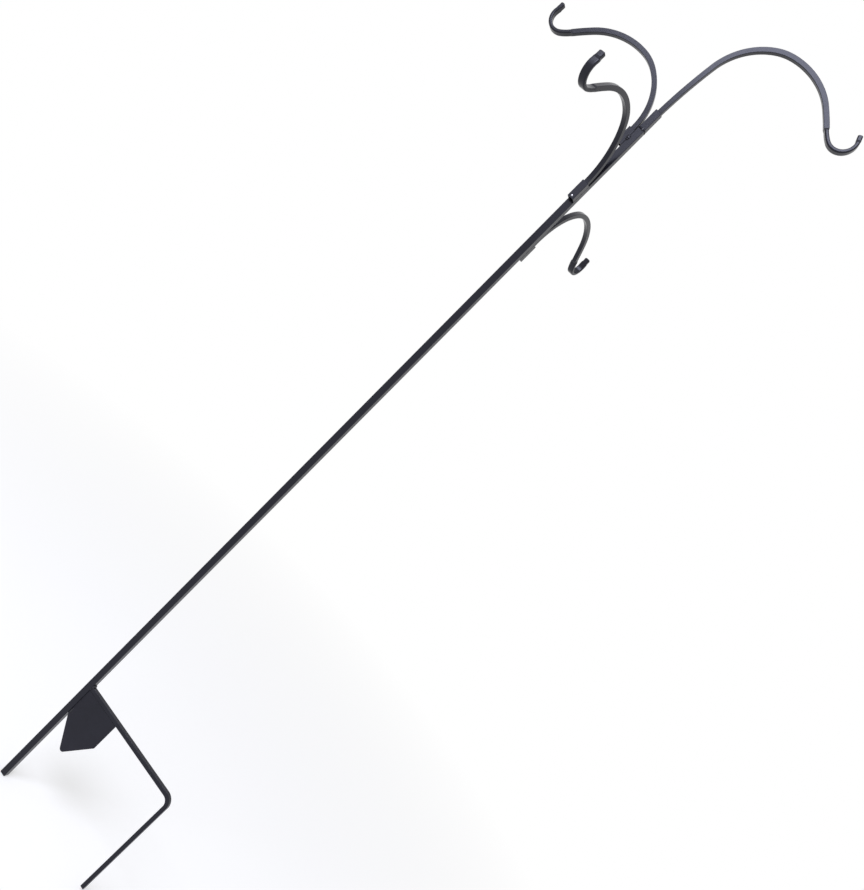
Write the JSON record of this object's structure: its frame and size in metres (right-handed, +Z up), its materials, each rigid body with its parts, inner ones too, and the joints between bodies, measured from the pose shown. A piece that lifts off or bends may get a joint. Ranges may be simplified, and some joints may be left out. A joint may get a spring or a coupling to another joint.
{
  "type": "hanging plant stand",
  "caption": "Tall square-bar garden stand with forged crook arms for hanging planters and a forked tread-in foot.",
  "frame": {"origin": "centre of the pole's lower end", "axes": "+Z up along the pole, +X along the foot bar and the top arm, -Y toward the front arm"},
  "size_m": [0.6845, 0.6829, 2.3807],
  "materials": {
    "black_coat": "thin semi-gloss black paint over mill-finish steel, worn lighter along the edges",
    "weld_coat": "the same paint over rippled weld metal, glossier"
  },
  "bodies": {
    "stand": {"pole": "black_coat", "top_socket": "black_coat", "left_socket": "black_coat", "front_socket": "black_coat", "back_socket": "black_coat", "top_socket_weld": "weld_coat", "left_socket_weld": "weld_coat", "front_socket_weld": "weld_coat", "back_socket_weld": "weld_coat", "step_bar": "black_coat", "anchor_plate": "black_coat", "step_bar_weld": "weld_coat", "plate_pole_weld": "weld_coat", "plate_bar_weld": "weld_coat"},
    "top_arm": {"top_arm": "black_coat"},
    "left_arm": {"left_arm": "black_coat"},
    "front_arm": {"front_arm": "black_coat"},
    "back_arm": {"back_arm": "black_coat"}
  },
  "joints": [
    {"name": "top_arm_lift", "type": "slide", "parent": "stand", "child": "top_arm", "axis": [0, 0, 1], "range_m": [0, 0.055]},
    {"name": "left_arm_lift", "type": "slide", "parent": "stand", "child": "left_arm", "axis": [0, 0, 1], "range_m": [0, 0.055]},
    {"name": "front_arm_lift", "type": "slide", "parent": "stand", "child": "front_arm", "axis": [0, 0, 1], "range_m": [0, 0.055]},
    {"name": "back_arm_lift", "type": "slide", "parent": "stand", "child": "back_arm", "axis": [0, 0, 1], "range_m": [0, 0.055]}
  ]
}
